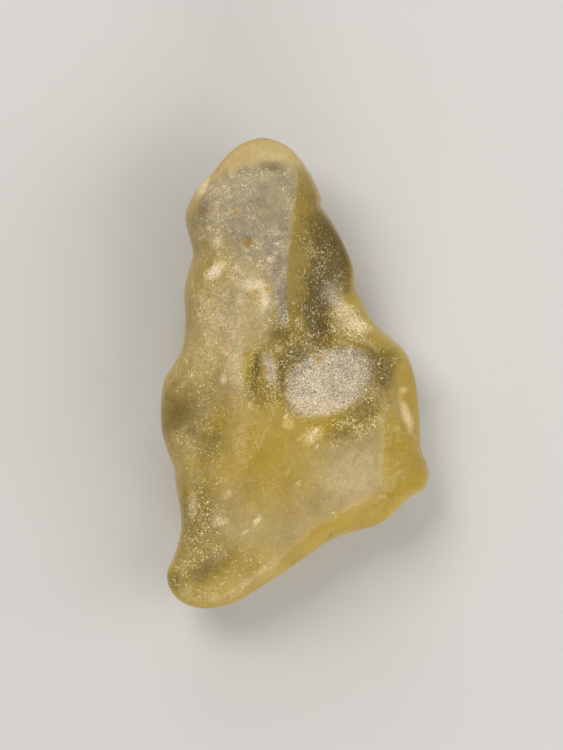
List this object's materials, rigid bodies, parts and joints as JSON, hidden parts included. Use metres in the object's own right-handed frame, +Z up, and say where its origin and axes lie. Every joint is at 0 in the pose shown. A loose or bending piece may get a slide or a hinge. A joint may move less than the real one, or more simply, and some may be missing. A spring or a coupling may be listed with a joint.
{
  "type": "libyan desert glass",
  "caption": "Weathered lump of pale yellow natural glass with a blunt narrow end, a thumb-print scoop, flutes and pits, resting on its worn flat underside as a display specimen.",
  "frame": {"origin": "middle of the bounding box at the height of the surface that the lump lies on", "axes": "+Y along the lump towards its narrow end, +Z up out of its best face, +X to the right with the narrow end away from the viewer"},
  "size_m": [0.0298, 0.0522, 0.015],
  "materials": {
    "desert_glass": "translucent yellow, wind-frosted on top with polished edges, pale and rust-coloured specks"
  },
  "bodies": {
    "root": {"desert_glass": "desert_glass"}
  },
  "joints": []
}
